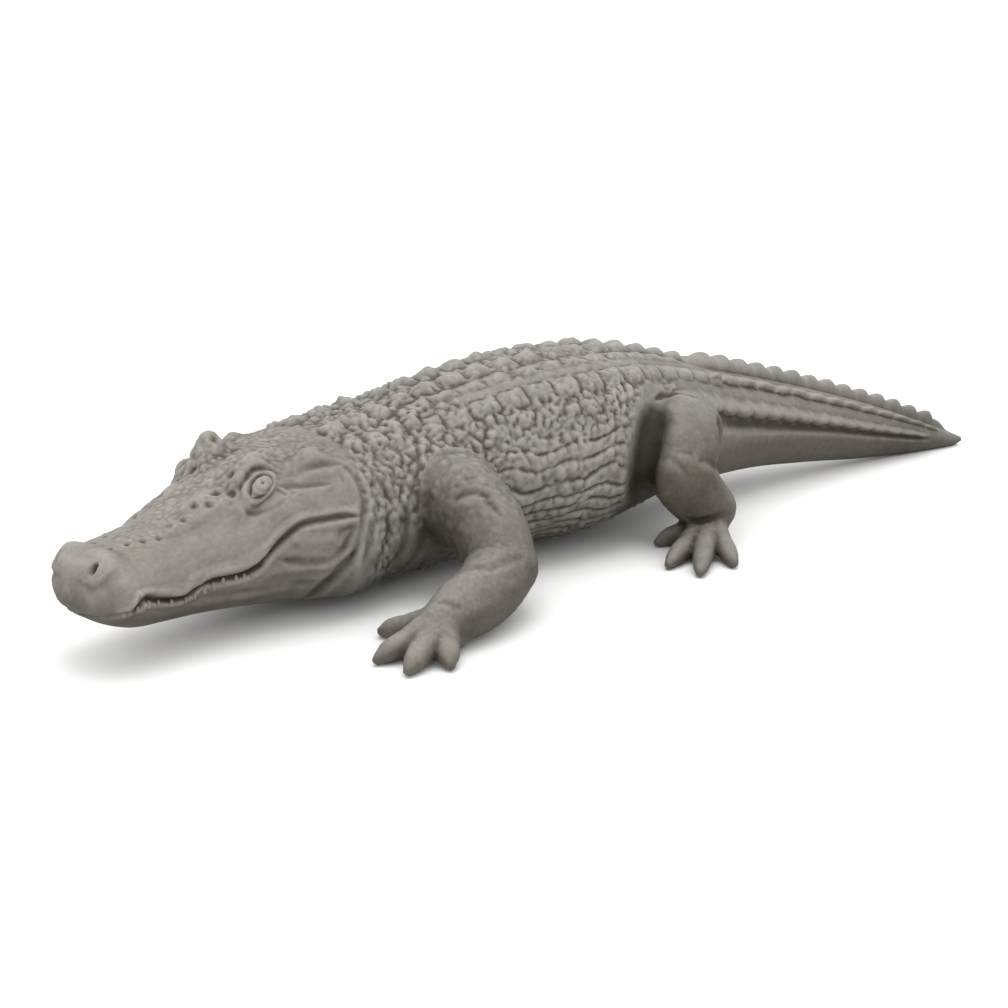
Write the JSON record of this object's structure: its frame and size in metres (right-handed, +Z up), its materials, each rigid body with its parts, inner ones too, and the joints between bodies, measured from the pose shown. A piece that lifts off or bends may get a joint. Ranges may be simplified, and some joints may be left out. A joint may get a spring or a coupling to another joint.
{
  "type": "crocodile sculpture",
  "caption": "Garden statue of a resting crocodile, cast in one piece, standing on its feet and the underside of its tail.",
  "frame": {"origin": "on the ground, in the middle of the footprint", "axes": "-X towards the snout, +X towards the tail tip, -Y towards the animal's left side, +Z up"},
  "size_m": [1.7856, 0.6908, 0.2859],
  "materials": {
    "cast_stone_finish": "matt warm grey stone finish, a little darker in the hollows"
  },
  "bodies": {
    "root": {"crocodile": "cast_stone_finish"}
  },
  "joints": []
}
